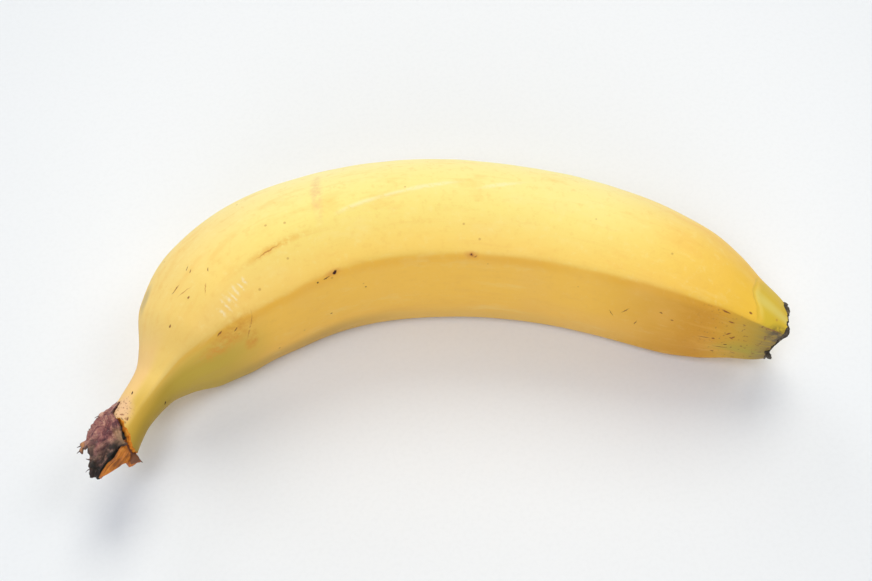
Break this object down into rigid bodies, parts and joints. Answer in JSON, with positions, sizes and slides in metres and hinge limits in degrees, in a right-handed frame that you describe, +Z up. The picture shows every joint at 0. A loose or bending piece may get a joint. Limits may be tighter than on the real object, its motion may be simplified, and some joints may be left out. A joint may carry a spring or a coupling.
{
  "type": "banana",
  "caption": "Ripe curved fruit with a tapering stalk torn at its end, softly ridged peel and a blunt blossom scar, lying on its side.",
  "frame": {"origin": "middle of the bounding box at the height of the surface the fruit lies on", "axes": "+X from the torn stalk end to the blossom end, -Y the hollow side of the bend, +Z up as the fruit lies on its side"},
  "size_m": [0.175, 0.07, 0.0396],
  "materials": {
    "peel": "satin"
  },
  "bodies": {
    "root": {"banana": "peel"}
  },
  "joints": []
}
